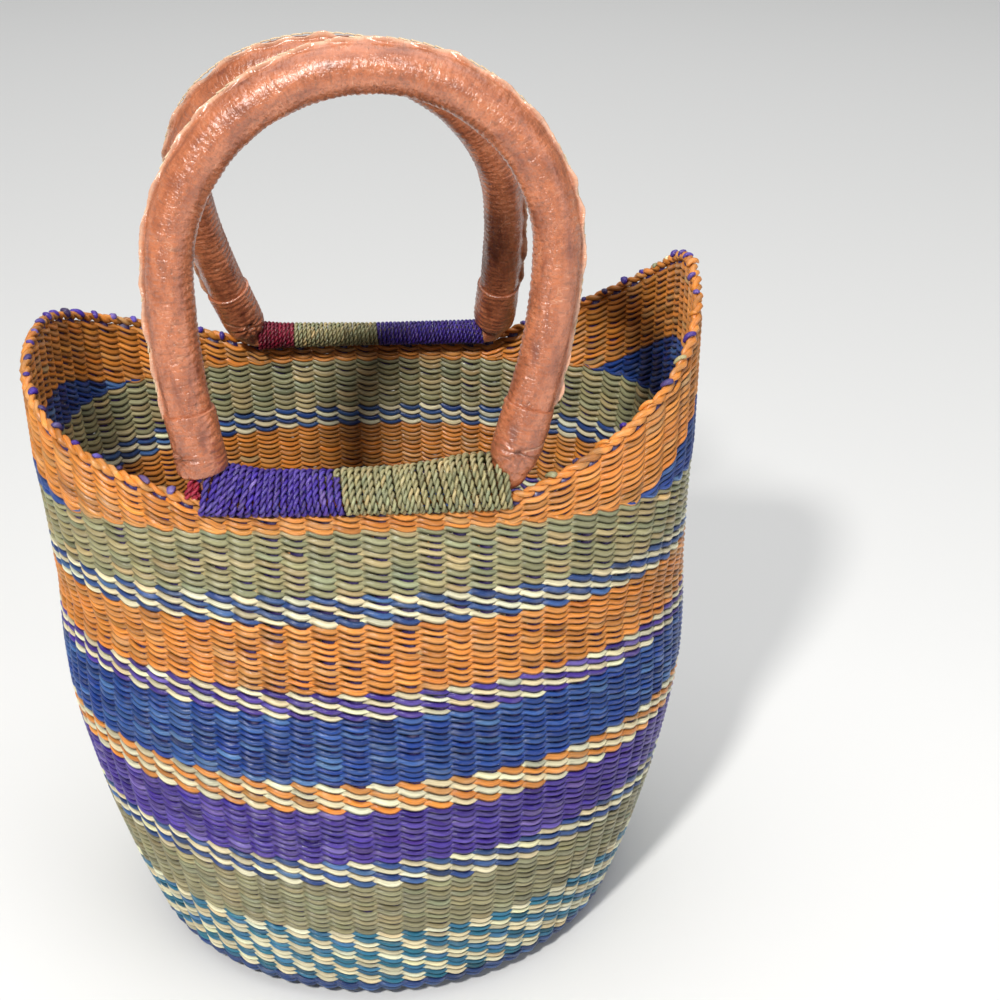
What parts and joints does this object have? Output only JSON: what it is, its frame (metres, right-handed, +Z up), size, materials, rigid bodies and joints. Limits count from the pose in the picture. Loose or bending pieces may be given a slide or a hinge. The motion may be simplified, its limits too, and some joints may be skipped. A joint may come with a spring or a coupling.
{
  "type": "bolga basket",
  "caption": "Round-bellied market basket of twined grass with peaked ends, striped colour bands and leather-covered ring handles lashed to its rim with cord.",
  "frame": {"origin": "middle of the foot, on the ground", "axes": "+X to the high end of the mouth, +Y from the front handle to the back handle, +Z up"},
  "size_m": [0.2636, 0.2128, 0.3793],
  "materials": {
    "straw_purple": "dyed grass straw, satin",
    "straw_navy": "dyed grass straw, satin",
    "straw_teal_cream": "dyed grass straw, satin",
    "straw_khaki": "dyed grass straw, satin",
    "straw_cream_navy": "dyed grass straw, satin",
    "straw_orange_cream": "dyed grass straw, satin",
    "straw_blue": "dyed grass straw, satin",
    "straw_cream_purple": "dyed grass straw, satin",
    "straw_orange": "dyed grass straw, satin",
    "straw_olive": "dyed grass straw, satin",
    "grass_core": "dyed grass straw, satin",
    "leather": "tanned, lightly glossy",
    "seam_thread": "matt",
    "cord_crimson": "dyed grass straw, satin",
    "cord_purple": "dyed grass straw, satin",
    "cord_olive": "dyed grass straw, satin",
    "cord_maroon": "dyed grass straw, satin"
  },
  "bodies": {
    "basket": {"base_start_disc": "straw_purple", "base_navy_rows": "straw_navy", "band_teal_cream": "straw_teal_cream", "band_khaki": "straw_khaki", "stripe_cream_navy_lower": "straw_cream_navy", "band_purple": "straw_purple", "stripe_orange_cream": "straw_orange_cream", "band_blue": "straw_blue", "stripe_cream_purple": "straw_cream_purple", "band_orange": "straw_orange", "stripe_cream_navy_upper": "straw_cream_navy", "band_olive": "straw_olive", "crescent_navy_right": "straw_navy", "crescent_navy_left": "straw_navy", "rim_band_orange": "straw_orange", "rim_border": "straw_orange", "front_binding_crimson": "cord_crimson", "front_binding_purple": "cord_purple", "front_binding_olive": "cord_olive", "back_binding_maroon": "cord_maroon", "back_binding_olive": "cord_olive", "back_binding_purple": "cord_purple"},
    "front_handle": {"front_grip_core": "grass_core", "front_leather_cover": "leather", "front_cuff_left": "leather", "front_cuff_right": "leather", "front_seam_thread": "seam_thread"},
    "back_handle": {"back_grip_core": "grass_core", "back_leather_cover": "leather", "back_cuff_left": "leather", "back_cuff_right": "leather", "back_seam_thread": "seam_thread"}
  },
  "joints": [
    {"name": "front_handle_swing", "type": "hinge", "parent": "basket", "child": "front_handle", "pos_m": [-0.0018, -0.07504, 0.2252], "axis": [1, 0, 0], "range_deg": [-22, 34]},
    {"name": "back_handle_swing", "type": "hinge", "parent": "basket", "child": "back_handle", "pos_m": [0, 0.07504, 0.2252], "axis": [1, 0, 0], "range_deg": [-53.5, 2.5]}
  ]
}
